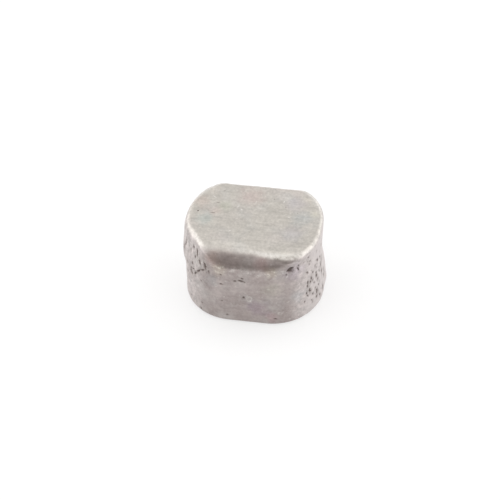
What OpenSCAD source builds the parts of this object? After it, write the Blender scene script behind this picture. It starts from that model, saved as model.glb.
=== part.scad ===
// Stubby crankshaft key, one solid piece of hardened steel.
// A forged blank with rounded ends is ground flat on its back, its top and its foot.
// A shallow cove relieves the top edge of the front face.
// Origin: middle of the foot. X runs along the key, Y from the front face to the back, Z up.

/* [Whole key] */
// Width at the foot, from the front wall to the ground back face
width = 6; // [5:0.05:8]
// Height from the foot to the top face
height = 5; // [3.5:0.05:7]

/* [Forged blank] */
// Length of the blank at the rim of the top face
length = 7.6; // [6.5:0.05:12]
// Radius of the blank's upright corners, which nearly meet at each end
corner_r = 2.75; // [1.5:0.05:3]
// How much further the wall stands out at the foot than at the rim
flare = 0.11; // [0.02:0.01:0.3]
// Stock that grinding took off the back of the blank
back_grind = 0.32; // [0.05:0.01:0.6]

/* [Edges] */
// Radius round the rim of the top face
rim_r = 0.3; // [0.15:0.01:0.5]
// Radius round the foot
foot_r = 0.18; // [0.1:0.01:0.4]

/* [Relief cove] */
// How far the cove sets the top rim back from the front wall
cove_setback = 0.43; // [0.2:0.01:0.8]
// Height of the cove, from its lip on the front wall up to the rim's round
cove_height = 0.57; // [0.4:0.01:1.2]
// Radius of the hollow of the cove
cove_r = 1.6; // [1:0.05:3]

/* [Hidden] */
$fn = 96;
// Overshoot of cutting shapes
over = 1;
// Least wall left between the two corners of an end, to each side of the middle
least_end = 0.05;

// Width of the blank at its rim, and how far its middle lies behind the middle of the key
blank_w = width - flare + back_grind;
blank_y = (flare + back_grind) / 2;
// A corner stops short of half the blank, and the four stand at these places
corner = min(corner_r, blank_w / 2 - least_end);
corner_x = length / 2 - corner;
corner_y = blank_w / 2 - corner;
// Heights of the cove, and where the front wall and the neck above the cove stand at the rim
cove_top = height - rim_r;
lip_z = cove_top - cove_height;
front = flare - width / 2;
neck = front + cove_setback;

// Centre of a circle of radius r through points a and b, to the left of the way from a to b
function centre_of(a, b, r) =
    let (d = b - a, half = norm(d) / 2, h = sqrt(r * r - half * half))
    (a + b) / 2 + [-d.y, d.x] / norm(d) * h;

// Outward direction of the straight line that touches circles a and b on the right, going from a to b
function outward(a, ra, b, rb) =
    let (d = norm(b - a), u = (b - a) / d, lean = (ra - rb) / d)
    u * lean + [u.y, -u.x] * sqrt(1 - lean * lean);

// Upright section of a corner of the blank, from the corner's own axis out to its leaning wall
module wall_section() {
    foot_c = [corner + flare - foot_r, foot_r];
    rim_c = [corner - rim_r, height - rim_r];
    out = outward(foot_c, foot_r, rim_c, rim_r);
    polygon([
        [0, 0], [foot_c.x, 0], foot_c, foot_c + foot_r * out,
        rim_c + rim_r * out, rim_c, [rim_c.x, height], [0, height]
    ]);
    translate(foot_c) circle(foot_r);
    translate(rim_c) circle(rim_r);
}

// One rounded end of the blank: two swept corners and the short wall between them
module blank_end() {
    translate([corner_x, corner_y, 0]) rotate_extrude(angle = 90) wall_section();
    translate([corner_x, -corner_y, 0]) rotate([0, 0, -90])
        rotate_extrude(angle = 90) wall_section();
    translate([corner_x, corner_y, 0]) rotate([90, 0, 0])
        linear_extrude(2 * corner_y) wall_section();
}

// The forged blank, with its back left square because grinding finishes it
module blank() {
    blank_end();
    mirror([1, 0, 0]) blank_end();
    translate([corner_x, -corner_y, 0]) rotate([90, 0, -90])
        linear_extrude(2 * corner_x) wall_section();
    translate([-corner_x, -corner_y, 0]) cube([2 * corner_x, corner_y + blank_w / 2, height]);
}

// What is cut away at a square corner with its point at the origin, to leave a round of radius r
module off_round(r) {
    difference() {
        translate([-over, -over]) square(over + r);
        translate([r, r]) circle(r);
    }
}

// The metal that stays under the cove, whose hollow is an arc from the lip up to the neck
module cove_fill() {
    hollow = centre_of([front, lip_z], [neck, cove_top], cove_r);
    difference() {
        translate([front - 2 * over, lip_z - 2 * over])
            square([3 * over + cove_setback, cove_height + 2 * over]);
        translate(hollow) circle(cove_r);
    }
}

// Section of what the relief takes off the top edge of the front wall, with the rim's round
module front_waste() {
    difference() {
        translate([front - over, lip_z - over])
            square([over + cove_setback, height - lip_z + 2 * over]);
        cove_fill();
    }
    translate([neck, height]) mirror([0, 1]) off_round(rim_r);
}

// Section of everything that grinding takes off the back of the blank
module back_waste() {
    translate([width / 2, -over]) square([over, height + 2 * over]);
    translate([width / 2, 0]) mirror([1, 0]) off_round(foot_r);
    translate([width / 2, height]) mirror([1, 0]) mirror([0, 1]) off_round(rim_r);
}

// A section across the key, drawn out along it past both ends
module along_key() {
    rotate([90, 0, 90]) translate([0, 0, -length]) linear_extrude(2 * length) children();
}

module crankshaft_key() {
    color([0.68, 0.66, 0.63]) difference() {
        translate([0, blank_y, 0]) blank();
        along_key() front_waste();
        along_key() back_waste();
    }
}

crankshaft_key();
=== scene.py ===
import math
import random

import bmesh
import bpy
from mathutils import Matrix, Vector, kdtree, noise


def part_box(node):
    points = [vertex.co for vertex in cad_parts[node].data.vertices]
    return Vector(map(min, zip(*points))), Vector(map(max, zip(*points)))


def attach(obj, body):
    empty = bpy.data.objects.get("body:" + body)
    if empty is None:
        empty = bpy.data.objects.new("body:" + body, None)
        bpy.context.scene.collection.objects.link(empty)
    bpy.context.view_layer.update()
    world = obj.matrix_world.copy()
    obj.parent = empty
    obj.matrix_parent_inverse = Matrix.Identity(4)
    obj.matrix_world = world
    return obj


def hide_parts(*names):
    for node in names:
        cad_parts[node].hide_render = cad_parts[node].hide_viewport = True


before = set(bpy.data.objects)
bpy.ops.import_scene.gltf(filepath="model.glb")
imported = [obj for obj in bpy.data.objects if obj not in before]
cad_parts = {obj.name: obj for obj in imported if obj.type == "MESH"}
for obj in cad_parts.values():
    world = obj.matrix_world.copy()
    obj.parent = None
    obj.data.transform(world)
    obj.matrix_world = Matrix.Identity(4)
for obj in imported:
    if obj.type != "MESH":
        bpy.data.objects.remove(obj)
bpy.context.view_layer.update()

# The forged blank.
# A stubby bar of steel with rounded ends. Its wall leans out a little from the rim to the foot.
# A flat strip of quads is rolled once round the outline, and is all worked in millimetres.
MM = 0.001
_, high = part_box("crankshaft_key")
height = high.z / MM
half_width = high.y / MM
# How much further the wall stands out at the foot than at the rim, and the stock ground off the back
flare, back_grind = 0.11, 0.32
half_length = high.x / MM - flare
# Radii of the upright corners, of the rim's round and of the foot's
corner = 2.75
rim_r, foot_r = 0.3, 0.18
blank_half = half_width + (back_grind - flare) / 2
blank_y = (flare + back_grind) / 2
axis_x = half_length - corner
axis_y = blank_half - corner

# Runs of the outline from the middle of the back: columns, the corner's axis at both ends of the run,
# and the outward angle there in degrees
right, left = axis_x, -axis_x
far, near = blank_y + axis_y, blank_y - axis_y
RUNS = (
    (12, (0, far), (left, far), 90, 90),
    (76, (left, far), (left, far), 90, 180),
    (14, (left, far), (left, near), 180, 180),
    (124, (left, near), (left, near), 180, 270),
    (52, (left, near), (right, near), 270, 270),
    (124, (right, near), (right, near), 270, 360),
    (14, (right, near), (right, far), 360, 360),
    (76, (right, far), (right, far), 360, 450),
    (12, (right, far), (0, far), 450, 450),
)
columns = []
for count, start, end, turn_from, turn_to in RUNS:
    for step in range(count):
        share = step / count
        turn = math.radians(turn_from + (turn_to - turn_from) * share)
        axis = Vector(start).lerp(Vector(end), share)
        columns.append((axis, Vector((math.cos(turn), math.sin(turn)))))
columns.append(columns[0])

# The cove was cut from its lip up to the rim's round. Worn, its hollow is a little higher and flatter.
cut_height = 0.57
worn_setback, worn_height, worn_r = 0.45, 0.67, 3.0
cove_top = height - rim_r
lip_z = cove_top - cut_height

# Stations up the wall: reach from the corner's axis, height, and inset from the ground faces.
# From fine_z up they stand closer together, for the cove. Two lie flat on the foot and two on the top.
fine_z = lip_z - 0.25
flat_insets = (0.05, 0.16)
foot_count, wall_count, cove_count, rim_count = 8, 92, 30, 12
stations = []
for inset in reversed(flat_insets):
    stations.append((corner + flare - foot_r - inset, 0.0, foot_r + inset))
for step in range(foot_count + 1):
    swing = math.radians(90 - 90 * step / foot_count)
    drawn_in = foot_r * (1 - math.cos(swing))
    stations.append((corner + flare - drawn_in, foot_r * (1 - math.sin(swing)), drawn_in))
levels = [foot_r + (fine_z - foot_r) * step / wall_count for step in range(1, wall_count + 1)]
levels += [fine_z + (cove_top - fine_z) * step / cove_count for step in range(1, cove_count + 1)]
for z in levels:
    lean = flare * (cove_top - z) / (cove_top - foot_r)
    stations.append((corner + lean, z, 0.0))
for step in range(1, rim_count + 1):
    swing = math.radians(90 * step / rim_count)
    drawn_in = rim_r * (1 - math.cos(swing))
    stations.append((corner - drawn_in, cove_top + rim_r * math.sin(swing), drawn_in))
for inset in flat_insets:
    stations.append((corner - rim_r - inset, height, rim_r + inset))

bm = bmesh.new()
bmesh.ops.create_grid(bm, x_segments=len(columns) - 1, y_segments=len(stations) - 1, size=0.5)
# What the finish reads at each vertex: grime with painted shade, rubbed bright with painted highlights,
# ground smooth, and painted shade in the cove
wear = bm.verts.layers.float_color.new("wear")


# Grinding and the relief.
# The back is ground flat, and a shallow cove is cut along the top edge of the front wall.
# Whatever stands proud of the ground shape is pushed straight back to it, with a soft crease.
def soft_most(a, b, blend):
    """The greater of two numbers, rounded over where they are within `blend` of each other."""
    share = min(max(0.5 + 0.5 * (a - b) / blend, 0.0), 1.0)
    return b + (a - b) * share + blend * share * (1 - share), share


def smooth(edge_from, edge_to, value):
    """Eases from 0 to 1 while value goes from one edge to the other."""
    share = min(max((value - edge_from) / (edge_to - edge_from), 0.0), 1.0)
    return share * share * (3 - 2 * share)


def bell(middle, spread, value):
    """Falls smoothly from 1 at the middle to about a third at a distance of spread."""
    return math.exp(-((value - middle) / spread) ** 2)


chord = Vector((worn_setback, worn_height))
hollow_depth = math.sqrt(worn_r ** 2 - (chord.length / 2) ** 2)
hollow = Vector((0, lip_z)) + chord / 2 + Vector((-chord.y, chord.x)).normalized() * hollow_depth


def relief(x, z, inset):
    """How far the ground shape is set back from the front wall, or negative where it clears the wall.

    The cove is the worn hollow, and the roll is the worn round above it. Both get shallower to the right.
    """
    right_share = smooth(0.3, 1.9, x)
    rise = z - 0.08 * right_share
    cove = hollow.x + math.sqrt(max(worn_r ** 2 - (rise - hollow.y) ** 2, 0.0))
    below_top = max(height - z, 0.0) / (0.2 - 0.045 * right_share)
    roll = 1.09 - 0.08 * right_share - 0.60 * below_top ** 0.7 + max(inset - rim_r, 0.0)
    return soft_most(cove, roll, 0.26)[0] * (1 - 0.23 * smooth(-0.5, 1.7, x))


# Width of the soft crease where a ground face meets the forged wall
CREASE = 0.12

for v in bm.verts:
    axis, out = columns[round((v.co.x + 0.5) * (len(columns) - 1))]
    reach, z, inset = stations[round((v.co.y + 0.5) * (len(stations) - 1))]

    # The front left corner and the left edge are worn back. The two right corners of the top are fuller.
    # Degrees round the key: 0 at the left end, 90 at the middle of the front, and negative at the back.
    from_left = math.degrees(math.atan2(-out.y, -out.x))
    worn_corner = 0.28 * smooth(3.2, 4.9, z) + 0.10 * smooth(cove_top, height, z)
    worn_corner *= bell(38, 23, from_left)
    worn_left = 0.07 * bell(-10, 40, from_left) * smooth(4.4, height, z)
    full_corner = 0.12 * bell(131, 25, from_left) + 0.07 * bell(-134, 20, from_left)
    full_corner *= smooth(4.0, 4.8, z)
    x, y = axis + out * (reach - worn_corner - worn_left + full_corner)

    # The relief is ground from the front, and the back is ground flat
    blend = CREASE + (0.30 + 0.16 * smooth(1.0, 2.4, x)) * smooth(cove_top - 0.1, height - 0.1, z)
    y, cove_share = soft_most(flare - half_width + relief(x, z, inset), y, blend)
    kept, back_share = soft_most(half_width - inset - y, 0.0, CREASE)
    v.co = (x, half_width - inset - kept, z)

    # The front is as smooth as the ground faces, though it is the blank's own wall
    front_share = smooth(0.75, 0.93, -out.y)
    flat_r = rim_r if z > cove_top else foot_r
    ground = max(cove_share, front_share, 1 - back_share, smooth(flat_r * 0.3, flat_r, inset))

    # The rim of the top is painted with a highlight: most at the right of the front, broadest at the back
    # corners
    right_share = smooth(0.3, 1.8, x)
    crest = front_share * right_share
    narrow = front_share - crest
    far_corner = back_share * smooth(0.1, 0.5, out.y)
    highlight_full = 0.10 - 0.05 * narrow + 0.14 * far_corner
    highlight_end = 0.26 - 0.07 * smooth(1.0, 2.5, -x) - 0.12 * narrow - 0.05 * crest + 0.16 * far_corner
    rim_highlight = smooth(0.0, 0.05 - 0.02 * crest, inset) * (1 - smooth(highlight_full, highlight_end, inset))
    highlight_cut_end = 0.45 * smooth(0.70, 0.97, abs(out.x)) * (1 - far_corner)
    highlight_cut_left = 0.55 * front_share * (1 - smooth(-1.2, 1.0, x))
    rim_highlight *= 0.74 + 0.26 * crest - highlight_cut_end - highlight_cut_left
    rim_highlight *= z > cove_top

    # The cove is darkened with painted shade, which fades out under the rim's round
    shade_top = cove_top + 0.05 + 0.12 * right_share
    cove_shade = cove_share * (1 - smooth(shade_top - 0.50, shade_top - 0.05, z)) * (0.75 + 0.25 * right_share)
    v[wear] = (0.0, rim_highlight, ground, cove_shade)
bmesh.ops.remove_doubles(bm, verts=bm.verts, dist=0.002)

# The rough ends.
# The ends keep the skin of the forging: a little wavy, and torn open in pits that mostly lean one way.
# The front and the top have only a few small pits. Each one's grime with painted shade in it, and its shiny
# edge with a painted highlight, are noted for the finish.

# Marks round the ends: degrees from the middle of the front, negative to the left, then the height,
# half length, half width, lean in degrees, and depth
END_MARKS = (
    (-51, 4.40, 0.12, 0.08, -50, 0.03),
    (-42, 4.30, 0.34, 0.08, -15, 0.05),
    (-44, 3.90, 0.12, 0.08, -30, 0.03),
    (-35, 3.85, 0.20, 0.09, -20, 0.04),
    (-26, 3.80, 0.36, 0.10, -18, 0.05),
    (-21, 3.50, 0.12, 0.07, -15, 0.03),
    (-30, 3.38, 0.26, 0.08, 60, 0.04),
    (-36, 3.10, 0.30, 0.09, 40, 0.05),
    (-42, 2.75, 0.28, 0.09, 30, 0.05),
    (-51, 2.60, 0.34, 0.12, -12, 0.06),
    (-74, 3.25, 0.50, 0.10, 10, 0.08),
    (-62, 2.85, 0.15, 0.10, -5, 0.03),
    (-70, 3.90, 0.30, 0.08, 5, 0.05),
    (-55, 4.00, 0.16, 0.06, -20, 0.04),
    (-47, 3.30, 0.18, 0.07, -15, 0.03),
    (-60, 2.20, 0.12, 0.06, -10, 0.03),
    (-46, 2.95, 0.14, 0.06, 60, 0.03),
    (-33, 2.50, 0.08, 0.05, -60, 0.02),
    (-35, 0.25, 0.09, 0.07, -55, 0.03),
    (-33, 0.75, 0.07, 0.05, -30, 0.02),
    (30, 4.09, 0.28, 0.24, 20, 0.09),
    (31, 4.20, 0.15, 0.07, -5, 0.06),
    (40, 4.25, 0.09, 0.05, -10, 0.03),
    (40, 3.95, 0.20, 0.07, -20, 0.05),
    (54, 4.45, 0.09, 0.06, -10, 0.03),
    (56, 3.85, 0.08, 0.05, 0, 0.03),
    (72, 3.50, 0.12, 0.08, -20, 0.03),
    (80, 3.40, 0.16, 0.07, -15, 0.04),
    (52, 3.30, 0.11, 0.07, -15, 0.04),
    (67, 3.25, 0.15, 0.06, -5, 0.03),
    (62, 3.00, 0.12, 0.05, -10, 0.03),
    (87, 2.90, 0.24, 0.16, -20, 0.05),
    (82, 2.70, 0.25, 0.11, -10, 0.04),
    (68, 2.70, 0.11, 0.08, -15, 0.04),
    (59, 2.65, 0.22, 0.07, -5, 0.04),
    (69, 2.45, 0.14, 0.10, -15, 0.05),
    (76, 2.50, 0.14, 0.06, -10, 0.03),
    (53, 2.50, 0.18, 0.06, -5, 0.04),
    (57, 2.45, 0.13, 0.08, -25, 0.04),
    (62, 2.40, 0.10, 0.06, -10, 0.03),
    (52, 2.25, 0.12, 0.07, -15, 0.04),
    (64, 2.10, 0.10, 0.06, -15, 0.03),
    (72, 2.10, 0.14, 0.10, -15, 0.04),
    (85, 2.05, 0.31, 0.12, -10, 0.04),
    (56, 1.80, 0.25, 0.10, -10, 0.06),
    (51, 1.75, 0.12, 0.06, -15, 0.04),
    (66, 1.60, 0.12, 0.07, -10, 0.04),
    (90, 1.60, 0.19, 0.10, -15, 0.04),
    (74, 1.50, 0.10, 0.07, -10, 0.03),
    (52, 1.50, 0.11, 0.06, -20, 0.03),
    (61, 1.35, 0.12, 0.07, -20, 0.03),
    (47, 1.20, 0.06, 0.05, 0, 0.02),
    (90, 1.20, 0.22, 0.16, -20, 0.06),
    (70, 1.15, 0.27, 0.14, -10, 0.06),
    (58, 0.95, 0.08, 0.05, -20, 0.02),
    (69, 0.80, 0.15, 0.09, -10, 0.04),
    (77, 0.55, 0.16, 0.10, -20, 0.04),
    (89, 0.55, 0.31, 0.13, -15, 0.05),
)
# Marks on the front: millimetres along it from the middle, then the same values
FRONT_MARKS = (
    (-1.35, 2.85, 0.12, 0.06, -90, 0.03),
    (-0.55, 3.20, 0.10, 0.06, -85, 0.03),
    (-0.20, 3.25, 0.20, 0.07, -70, 0.02),
    (-0.15, 3.45, 0.10, 0.05, -80, 0.02),
    (-0.11, 1.98, 0.09, 0.07, -55, 0.03),
    (-1.08, 0.50, 0.10, 0.07, 80, 0.04),
    (1.62, 0.50, 0.09, 0.06, -80, 0.03),
    (-1.35, 3.55, 0.07, 0.05, -50, 0.02),
    (-1.32, 1.55, 0.06, 0.05, -85, 0.02),
)
# Light dents, rubbed bright by handling, with a painted highlight on their burrs: along the front, and the
# same values
DENTS = (
    (0.20, 1.90, 0.13, 0.11, 10, 0.006),
    (0.67, 3.70, 0.07, 0.05, 10, 0.010),
    (1.28, 3.90, 0.06, 0.05, -30, 0.010),
    (2.26, 3.75, 0.10, 0.05, -15, 0.012),
    (1.85, 0.90, 0.12, 0.05, -60, 0.012),
    (-1.62, 2.65, 0.07, 0.05, 20, 0.010),
)
# Chance pores lie between the marks of the ends. The last value of a mark is how much grime and painted
# shade fills it.
luck = random.Random(7)
PORES = 110
end_marks = [(*mark, 1) for mark in END_MARKS]
for _ in range(PORES):
    size = luck.uniform(0.025, 0.055)
    from_front = luck.choice((-1, 1)) * luck.uniform(46, 134)
    end_marks.append((from_front, luck.uniform(0.4, height - 0.7), size * luck.uniform(1, 3), size,
                      luck.uniform(-30, 15), size * 0.5, 0.5))
# Every mark is placed on the wall as it stands halfway up
wall_reach = corner + flare / 2
marks = []
for from_front, z, *shape in end_marks:
    swing = math.radians(from_front)
    out = Vector((math.sin(swing), -math.cos(swing)))
    axis = Vector((math.copysign(axis_x, from_front), near if abs(from_front) < 90 else far))
    if abs(from_front) == 90:
        axis.y = blank_y
    marks.append(((*(axis + out * wall_reach), z), *shape))
for grime_shade_amount, places in ((1, FRONT_MARKS), (0, DENTS)):
    for along, z, *shape in places:
        past = max(abs(along) - axis_x, 0.0)
        marks.append(((along, near - math.sqrt(wall_reach ** 2 - past ** 2), z), *shape, grime_shade_amount))

# Slow waves of the forged wall: middle, reach and rise
SWELLS = (
    ((-3.72, -0.60, 3.30), 0.60, 0.08),
    ((-3.70, 0.30, 4.40), 0.60, 0.08),
    ((-3.75, -0.20, 3.90), 0.60, 0.04),
    ((-3.75, -0.70, 2.70), 0.35, 0.05),
    ((3.80, 0.80, 3.50), 0.50, -0.09),
    ((3.85, 0.30, 2.60), 0.50, -0.05),
    ((-3.78, -0.66, 1.00), 0.50, -0.04),
    ((3.75, 1.05, 2.70), 0.90, -0.11),
    ((3.80, 0.80, 0.50), 0.45, 0.08),
)

bm.normal_update()
bm.verts.index_update()
bm.verts.ensure_lookup_table()
near_by = kdtree.KDTree(len(bm.verts))
for v in bm.verts:
    near_by.insert(v.co, v.index)
near_by.balance()
moves = [0.0] * len(bm.verts)
for v in bm.verts:
    forged = 1 - v[wear].z
    moves[v.index] += v[wear].y * (0.025 * noise.noise(v.co * 2.3) + 0.012 * noise.noise(v.co * 7.0))
    if forged > 0:
        waves = 0.03 * noise.noise(v.co * 0.9) + 0.016 * noise.noise(v.co * 3.1)
        waves += 0.009 * noise.noise(v.co * 9.0)
        for middle, reach, rise in SWELLS:
            waves += rise * bell(0, reach, (v.co - Vector(middle)).length)
        moves[v.index] += forged * waves

# Each mark is a ragged hole with a low burr round it. Grime with painted shade, and shine with a painted
# highlight, spread a little past its edge.
for place, long, wide, lean, depth, grime_shade_amount in marks:
    middle, nearest, _ = near_by.find(place)
    facing = bm.verts[nearest].normal.copy()
    facing.z = 0
    facing.normalize()
    across = Vector((-facing.y, facing.x, 0))
    lean_sin, lean_cos = math.sin(math.radians(lean)), math.cos(math.radians(lean))
    for co, index, _ in near_by.find_range(middle, max(long, wide) * 2.0 + 0.05):
        away = co - middle
        side, up = away.dot(across), away.z
        ragged = 1 + 0.7 * noise.noise(co * 9 + middle)
        length_share = (up * lean_cos + side * lean_sin) / long
        width_share = (side * lean_cos - up * lean_sin) / wide
        share = ragged * math.hypot(length_share, width_share)
        hole = 1 - smooth(0.35, 1.0, share)
        burr = smooth(0.8, 1.15, share) * (1 - smooth(1.15, 1.6, share))
        moves[index] += depth * (0.12 * burr - hole)
        v = bm.verts[index]
        grime_shade_share = grime_shade_amount * max(1 - smooth(0.3, 1.1, share), 0.30 * (1 - smooth(0.8, 2.0, share)))
        burr_rub_and_highlight = burr * (0.35 if grime_shade_amount else 0.7)
        v[wear] = (max(v[wear].x, grime_shade_share), max(v[wear].y, burr_rub_and_highlight), v[wear].z, v[wear].w)
for v in bm.verts:
    v.co += v.normal * moves[v.index]
    v.co.z = min(max(v.co.z, 0.0), height)

# The top and the foot.
# Both are ground flat and closed with one plane each, with a few pin-sized pits sunk in the top.

# Pits and scratches: place, half length, half width, turn in degrees, depth, and how much grime and painted
# shade is in them
TOP_PITS = (
    (-3.17, 0.42, 0.055, 0.05, 0, 0.05, 0.9),
    (-2.18, 1.22, 0.13, 0.04, 75, 0.02, 0.45),
    (-2.35, 0.37, 0.17, 0.04, 85, 0.02, 0.45),
    (-1.98, 2.20, 0.05, 0.04, 0, 0.03, 0.5),
    (0.87, 1.91, 0.05, 0.04, 20, 0.03, 0.4),
    (1.60, 1.36, 0.04, 0.035, 0, 0.03, 0.5),
    (2.31, 0.96, 0.04, 0.03, 0, 0.03, 0.4),
    (-1.01, 1.05, 0.12, 0.03, 35, 0.01, 0),
    (-0.80, 0.83, 0.07, 0.03, -60, 0.01, 0),
    (-0.09, 1.50, 0.12, 0.02, 5, 0.01, 0),
    (-1.14, -0.89, 0.06, 0.03, 70, 0.01, 0),
    (1.87, 0.59, 0.08, 0.025, -60, 0.01, 0),
    (-2.45, 1.65, 0.20, 0.02, -50, 0.01, 0),
    (1.45, 1.75, 0.14, 0.02, 5, 0.01, 0),
)
rims = {}
for name, level in (("foot", 0.0), ("top", height)):
    rims[name] = [e for e in bm.edges if e.is_boundary and all(abs(v.co.z - level) < 0.01 for v in e.verts)]
# Rings of a pit, from its mouth in to its floor: share of its size, and share of its depth
PIT_RINGS = ((1.5, 0.0), (1.1, 0.0), (0.8, 0.7), (0.45, 1.0))
for x, y, long, wide, turn, depth, grime_shade_amount in TOP_PITS:
    mouth = Matrix.Translation((x, y, height)) @ Matrix.Rotation(math.radians(-turn), 4, "Z")
    outer = []
    for size, sunk in PIT_RINGS:
        shape = Matrix.Diagonal((wide * size, long * size, 1, 1))
        shape = mouth @ Matrix.Translation((0, 0, -depth * sunk)) @ shape
        ring = bmesh.ops.create_circle(bm, cap_ends=sunk == 1, segments=14, radius=1, matrix=shape)
        marked = min(sunk * 2, 1)
        for v in ring["verts"]:
            v[wear] = (grime_shade_amount * marked, marked * (grime_shade_amount == 0), 1.0, 0.0)
        edges = list({e for v in ring["verts"] for e in v.link_edges})
        if outer:
            bmesh.ops.bridge_loops(bm, edges=outer + edges)
        else:
            rims["top"] += edges
        outer = edges
planes = []
for name in rims:
    filled = bmesh.ops.triangle_fill(bm, use_beauty=True, edges=rims[name])
    planes += [face for face in filled["geom"] if isinstance(face, bmesh.types.BMFace)]
bmesh.ops.recalc_face_normals(bm, faces=bm.faces)
bmesh.ops.transform(bm, matrix=Matrix.Scale(MM, 4), verts=bm.verts)
for face in bm.faces:
    face.smooth = True
for face in planes:
    face.smooth = False
mesh = bpy.data.meshes.new("worn_key")
bm.to_mesh(mesh)
bm.free()
key = bpy.data.objects.new("worn_key", mesh)
bpy.context.scene.collection.objects.link(key)
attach(key, "root")
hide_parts("crankshaft_key")


# The worn steel.
# Bare hardened steel, dulled by handling: fine grain, faint tints, brown grime with painted shade in the
# pits, painted shade in the cove, and painted highlights on the rubbed edges, under the cove's lip and at
# the ends' tips.
class Wire:
    """One output of a node. Arithmetic on wires adds the Math nodes that work it out."""

    def __init__(self, tree, socket=None):
        self.tree, self.socket = tree, socket

    def node(self, kind, settings, values, output=0):
        """Adds any node, gives its sockets numbers or wires, and returns one of its outputs."""
        new = self.tree.nodes.new("ShaderNode" + kind)
        for name, value in settings.items():
            if name == "stops":
                for place, colour in value[:-2]:
                    new.color_ramp.elements.new(place)
                for stop, (place, colour) in zip(new.color_ramp.elements, value):
                    stop.position, stop.color = place, (*colour, 1)
            else:
                setattr(new, name, value)
        for name, value in values.items():
            if isinstance(value, Wire):
                self.tree.links.new(value.socket, new.inputs[name])
            else:
                new.inputs[name].default_value = value
        return Wire(self.tree, new.outputs[output] if new.outputs else None)

    def maths(self, operation, first, second=0.0):
        return self.node("Math", {"operation": operation}, {0: first, 1: second})

    def __add__(self, other):
        return self.maths("ADD", self, other)

    def __sub__(self, other):
        return self.maths("SUBTRACT", self, other)

    def __mul__(self, other):
        return self.maths("MULTIPLY", self, other)

    def __rsub__(self, other):
        return self.maths("SUBTRACT", other, self)

    def __truediv__(self, other):
        return self.maths("DIVIDE", self, other)

    def __rtruediv__(self, other):
        return self.maths("DIVIDE", other, self)

    __radd__, __rmul__ = __add__, __mul__

    def blend(self, below, above, mode="MIX"):
        """Mixes two colours, with this wire as the share of the second."""
        return self.node("Mix", {"data_type": "RGBA", "blend_type": mode}, {0: self, 6: below, 7: above}, 2)

    def ease(self, start, end):
        """Goes smoothly from 0 to 1 while this wire goes from start to end."""
        return self.node("MapRange", {"interpolation_type": "SMOOTHSTEP"}, {0: self, 1: start, 2: end})


steel = bpy.data.materials.new("worn_steel")
steel.use_nodes = True
steel.node_tree.nodes.clear()
start = Wire(steel.node_tree)
place = start.node("TexCoord", {}, {}, "Object")
place = start.node("VectorMath", {"operation": "SCALE"}, {0: place, "Scale": 1 / MM})
noted = start.node("Attribute", {"attribute_name": "wear"}, {})
grime_and_shade = start.node("SeparateColor", {}, {0: noted}, 0)
rubbed_and_highlight = start.node("SeparateColor", {}, {0: noted}, 1)
ground = start.node("SeparateColor", {}, {0: noted}, 2)
cove_shade = start.node("Attribute", {"attribute_name": "wear"}, {}, "Alpha")


def grain(scale, detail=2.0, rough=0.5, stretch=(1, 1, 1), shift=0.0):
    """Noise of a given scale per millimetre, stretched along the axes."""
    spot = place.node("Mapping", {}, {"Vector": place, "Scale": stretch, "Location": (shift,) * 3})
    values = {"Vector": spot, "Scale": scale, "Detail": detail, "Roughness": rough}
    return place.node("TexNoise", {}, values)


along_mm, depth_mm, height_mm = (start.node("SeparateXYZ", {}, {0: place}, part) for part in range(3))
top_share = height_mm.ease(height - 0.32, height - 0.02)

# The ground top is grey green, the front and the back are a darker mauve that holds painted shade, and the
# forged skin of the ends is paler.
# Pink and blue lie over all of them in faint patches.
GREY_GREEN = (0.520, 0.490, 0.448, 1)
SHADED_MAUVE = (0.370, 0.322, 0.309, 1)
SKIN = (0.520, 0.470, 0.456, 1)
PINK = (0.600, 0.545, 0.530, 1)
BLUE = (0.540, 0.540, 0.525, 1)
GRIME_AND_SHADE = (0.150, 0.120, 0.108, 1)
PALE_AND_HIGHLIGHT = (0.720, 0.695, 0.660, 1)
TIP_HIGHLIGHT = (0.700, 0.650, 0.640, 1)
COVE_SHADE_TONE = (0.66, 0.64, 0.63, 1)
body = top_share.blend((1 - ground).blend(SHADED_MAUVE, SKIN), GREY_GREEN)
body = (grain(0.45, shift=3.0).ease(0.45, 0.80) * 0.35).blend(body, PINK)
body = (grain(0.8, shift=11.0).ease(0.45, 0.80) * 0.30).blend(body, BLUE)
speckle = grain(7.0, 3.0, 0.65)
streaks = grain(1.6, 3.0, 0.6, stretch=(0.3, 3.0, 3.0), shift=7.0)
patches = grain(2.4, 2.0, 0.5, shift=9.0) - 0.5
skin = grain(3.4, 4.0, 0.7, shift=1.0) - 0.5
mottle = 1 + (speckle - 0.5) * 0.6 + (streaks - 0.5) * ground * 0.32
mottle = mottle + patches * 0.36 + skin * (1 - ground) * 1.3
body = body.node("VectorMath", {"operation": "SCALE"}, {0: body, "Scale": mottle})
body = (grain(4.0, 2.0, 0.6, shift=5.0).ease(0.62, 0.75) * 0.35).blend(body, PALE_AND_HIGHLIGHT)

# A speckled band of painted highlight lies on the front under the lip of the cove, and the tips of both ends
# are lighter with painted highlights
lip_highlight = height_mm.ease(lip_z - 0.9, lip_z - 0.1) * (1 - height_mm.ease(lip_z, lip_z + 0.1))
lip_highlight *= (0.0 - depth_mm).ease(0.5, 2.0)
body = (lip_highlight * grain(5.0, 3.0, 0.6, shift=4.0).ease(0.45, 0.75) * 0.6).blend(body, PALE_AND_HIGHLIGHT)
tip_highlight = along_mm.ease(2.7, 3.8) + (0.0 - along_mm).ease(3.3, 3.9) * 0.6
body = (tip_highlight * (1 - top_share) * 0.7).blend(body, TIP_HIGHLIGHT)
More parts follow.
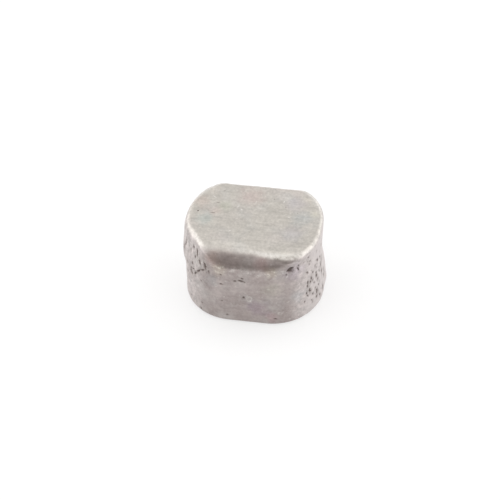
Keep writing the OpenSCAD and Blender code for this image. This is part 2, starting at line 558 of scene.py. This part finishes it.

# Faint tints of the top and the front, with a few painted highlights among them: middle in millimetres,
# reach, and what the colour is multiplied by
TINTS_AND_HIGHLIGHTS = (
    ((-0.40, 2.00, 5.0), 1.1, (1.04, 0.97, 0.98)),
    ((1.30, 2.90, 5.0), 0.5, (1.08, 1.07, 1.06)),
    ((2.05, 2.60, 5.0), 0.5, (1.09, 1.08, 1.08)),
    ((2.75, 2.05, 5.0), 0.5, (1.08, 1.07, 1.06)),
    ((3.30, 1.00, 5.0), 0.4, (1.12, 1.12, 1.08)),
    # A painted highlight on the right of the front's rim
    ((2.20, -2.45, 4.9), 0.6, (1.14, 1.14, 1.13)),
    ((-2.60, 2.30, 5.0), 0.6, (1.08, 1.06, 1.05)),
    ((-2.70, -0.15, 5.0), 0.7, (0.94, 1.01, 1.03)),
    ((-1.70, 1.05, 5.0), 0.6, (0.98, 1.01, 0.97)),
    ((2.55, 0.50, 5.0), 0.8, (0.94, 0.98, 1.02)),
    ((-3.10, 1.25, 5.0), 0.7, (1.03, 0.975, 0.965)),
    ((-2.20, 0.55, 5.0), 0.5, (1.02, 0.97, 0.96)),
    ((2.20, 1.65, 5.0), 0.9, (0.97, 0.96, 1.01)),
    ((2.30, -0.65, 5.0), 0.9, (0.95, 0.95, 0.99)),
    ((0.60, -2.95, 1.20), 0.9, (0.92, 0.89, 0.96)),
    ((1.45, -2.98, 0.60), 0.5, (1.05, 0.95, 0.98)),
    ((1.45, -2.93, 2.80), 0.8, (1.00, 1.03, 0.98)),
    # This one and the next are painted highlights just under the cove's lip
    ((1.40, -2.90, 4.05), 0.5, (1.14, 1.14, 1.06)),
    ((-1.40, -2.90, 3.85), 0.6, (1.12, 1.11, 1.04)),
    ((-1.90, -2.80, 2.90), 0.6, (0.97, 1.02, 1.04)),
    ((2.60, -2.40, 3.90), 0.9, (1.00, 0.98, 1.06)),
    ((2.70, -2.35, 1.90), 0.7, (0.98, 1.03, 1.05)),
    ((0.85, -2.70, 4.45), 0.6, (1.04, 0.96, 0.96)),
    ((-1.80, -2.60, 4.50), 0.6, (1.06, 0.98, 0.95)),
)
for spot, reach, colour in TINTS_AND_HIGHLIGHTS:
    away = start.node("VectorMath", {"operation": "DISTANCE"}, {0: place, 1: spot}, "Value")
    ragged = away + patches * reach
    body = ragged.ease(reach, reach * 0.2).blend(body, (*colour, 1), "MULTIPLY")
# Painted shade in the cove
body = cove_shade.blend(body, COVE_SHADE_TONE, "MULTIPLY")
# Painted highlights on the rubbed rim, the burrs and the scratches
body = (rubbed_and_highlight * (speckle.ease(0.3, 0.6) * 0.5 + 0.5) * 0.8).blend(body, PALE_AND_HIGHLIGHT)
# Brown grime with painted shade in the pits
body = (grime_and_shade * 0.92).blend(body, GRIME_AND_SHADE)

roughness = 0.40 + (speckle - 0.5) * 0.12 - rubbed_and_highlight * 0.12 + (1 - ground) * 0.06 + grime_and_shade * 0.3
fine = grain(14.0, 3.0, 0.6)
scratch = grain(5.0, 2.0, 0.5, stretch=(0.5, 6.0, 1.0), shift=2.0)
bumps = fine * 0.5 + scratch * ground * 0.35 + grain(3.0, 2.0, 0.5) * (1 - ground)
normal = start.node("Bump", {}, {"Height": bumps, "Strength": 0.5, "Distance": 0.008 * MM})
shader = start.node("BsdfPrincipled", {}, {
    "Base Color": body, "Roughness": roughness, "Normal": normal, "Metallic": 1.0,
})
start.node("OutputMaterial", {}, {0: shader})
key.data.materials.append(steel)

# The floor.
# A plain pale table that runs out of sight. Where it is seen, some plain white softens the key's shadow.
bm = bmesh.new()
bmesh.ops.create_circle(bm, cap_ends=True, segments=64, radius=1.5)
floor_mesh = bpy.data.meshes.new("floor")
bm.to_mesh(floor_mesh)
bm.free()
floor = bpy.data.objects.new("floor", floor_mesh)
bpy.context.scene.collection.objects.link(floor)
table = bpy.data.materials.new("pale_table")
table.use_nodes = True
table.node_tree.nodes.clear()
start = Wire(table.node_tree)
SEEN_BY = ("Is Camera Ray", "Is Glossy Ray", "Is Transmission Ray")
WHITE_SHARE = 0.55
rays = [start.node("LightPath", {}, {}, kind) for kind in SEEN_BY]
seen = rays[0] + rays[1] + rays[2]
paper = start.node("BsdfDiffuse", {}, {"Color": (0.92, 0.92, 0.92, 1)})
white = start.node("Emission", {}, {"Color": (0.99, 0.99, 0.99, 1), "Strength": 1.0})
surface = start.node("MixShader", {}, {0: seen * WHITE_SHARE, 1: paper, 2: white})
start.node("OutputMaterial", {}, {0: surface})
floor.data.materials.append(table)

# The studio.
# A white tent lights the key from behind, from above and from both sides; the camera's side is dark.
CAMERA_TURN = math.radians(11.08)
toward = (math.sin(CAMERA_TURN), -math.cos(CAMERA_TURN), 0)
beside = (math.cos(CAMERA_TURN), math.sin(CAMERA_TURN), 0)
world = bpy.data.worlds.new("tent")
bpy.context.scene.world = world
world.use_nodes = True
world.node_tree.nodes.clear()
start = Wire(world.node_tree)
ray = start.node("TexCoord", {}, {}, "Generated")
ahead = start.node("VectorMath", {"operation": "DOT_PRODUCT"}, {0: ray, 1: toward}, "Value")
aside = start.node("VectorMath", {"operation": "DOT_PRODUCT"}, {0: ray, 1: beside}, "Value")
above = start.node("SeparateXYZ", {}, {0: ray}, 2)

# The tent's tone along the arc from the camera's side at 0, over the top at 0.5, to the far side at 1
DUSK = (0.290, 0.266, 0.245)
TONES = (
    (0.0, DUSK),
    (0.15, DUSK),
    (0.25, (0.40, 0.37, 0.35)),
    (0.39, (1.12, 1.11, 1.09)),
    (0.50, (1.15, 1.15, 1.15)),
    (0.60, (0.96, 0.96, 0.96)),
    (0.78, (0.88, 0.88, 0.88)),
    (0.92, (1.3, 1.3, 1.3)),
)
SIDES = (1.70, 1.70, 1.70, 1)
arc = start.maths("ARCTAN2", above, ahead) / math.pi
tent = start.node("ValToRGB", {"stops": TONES}, {0: arc})
for side in (aside, 0.0 - aside):
    tent = side.ease(0.26, 0.74).blend(tent, SIDES)
backdrop = start.node("Background", {}, {"Color": tent, "Strength": 1.0})
start.node("OutputWorld", {}, {0: backdrop})

# A round softbox hangs above the key, a little behind it and to the left, and points at it
lamp_data = bpy.data.lights.new("softbox", "AREA")
lamp_data.shape = "DISK"
lamp_data.size = 0.12
lamp_data.energy = 0.010
lamp = bpy.data.objects.new("softbox", lamp_data)
lamp.location = (-0.02, 0.05, 0.14)
lamp.rotation_euler = (-lamp.location).to_track_quat("-Z", "Y").to_euler()
bpy.context.scene.collection.objects.link(lamp)

# The camera.
# It stands where the photograph was taken from: a little to the right, looking down at about 45 degrees.
# The lens shift puts the key where it lies in the photograph, a little off the middle.
CAMERA_RISE = math.radians(45.17)
CAMERA_ROLL = math.radians(-2.11)
CAMERA_AWAY = 84.2 * MM
middle = Vector((0, blank_y * MM, height / 2 * MM))
sight = Vector((
    -math.sin(CAMERA_TURN) * math.cos(CAMERA_RISE),
    math.cos(CAMERA_TURN) * math.cos(CAMERA_RISE),
    -math.sin(CAMERA_RISE),
))
level = Vector(beside)
upright = level.cross(sight)
frame_right = level * math.cos(CAMERA_ROLL) + upright * math.sin(CAMERA_ROLL)
frame_up = upright * math.cos(CAMERA_ROLL) - level * math.sin(CAMERA_ROLL)
camera_data = bpy.data.cameras.new("camera")
camera = bpy.data.objects.new("camera", camera_data)
aim = Matrix((frame_right, frame_up, -sight)).transposed().to_4x4()
camera.matrix_world = Matrix.Translation(middle - sight * CAMERA_AWAY) @ aim
camera_data.lens = 108
camera_data.sensor_width = 36
camera_data.shift_x = -0.0101
camera_data.shift_y = 0.0012
camera_data.clip_start = 0.002
camera_data.clip_end = 5
bpy.context.scene.collection.objects.link(camera)
bpy.context.scene.camera = camera

bpy.context.scene.view_settings.view_transform = "Standard"
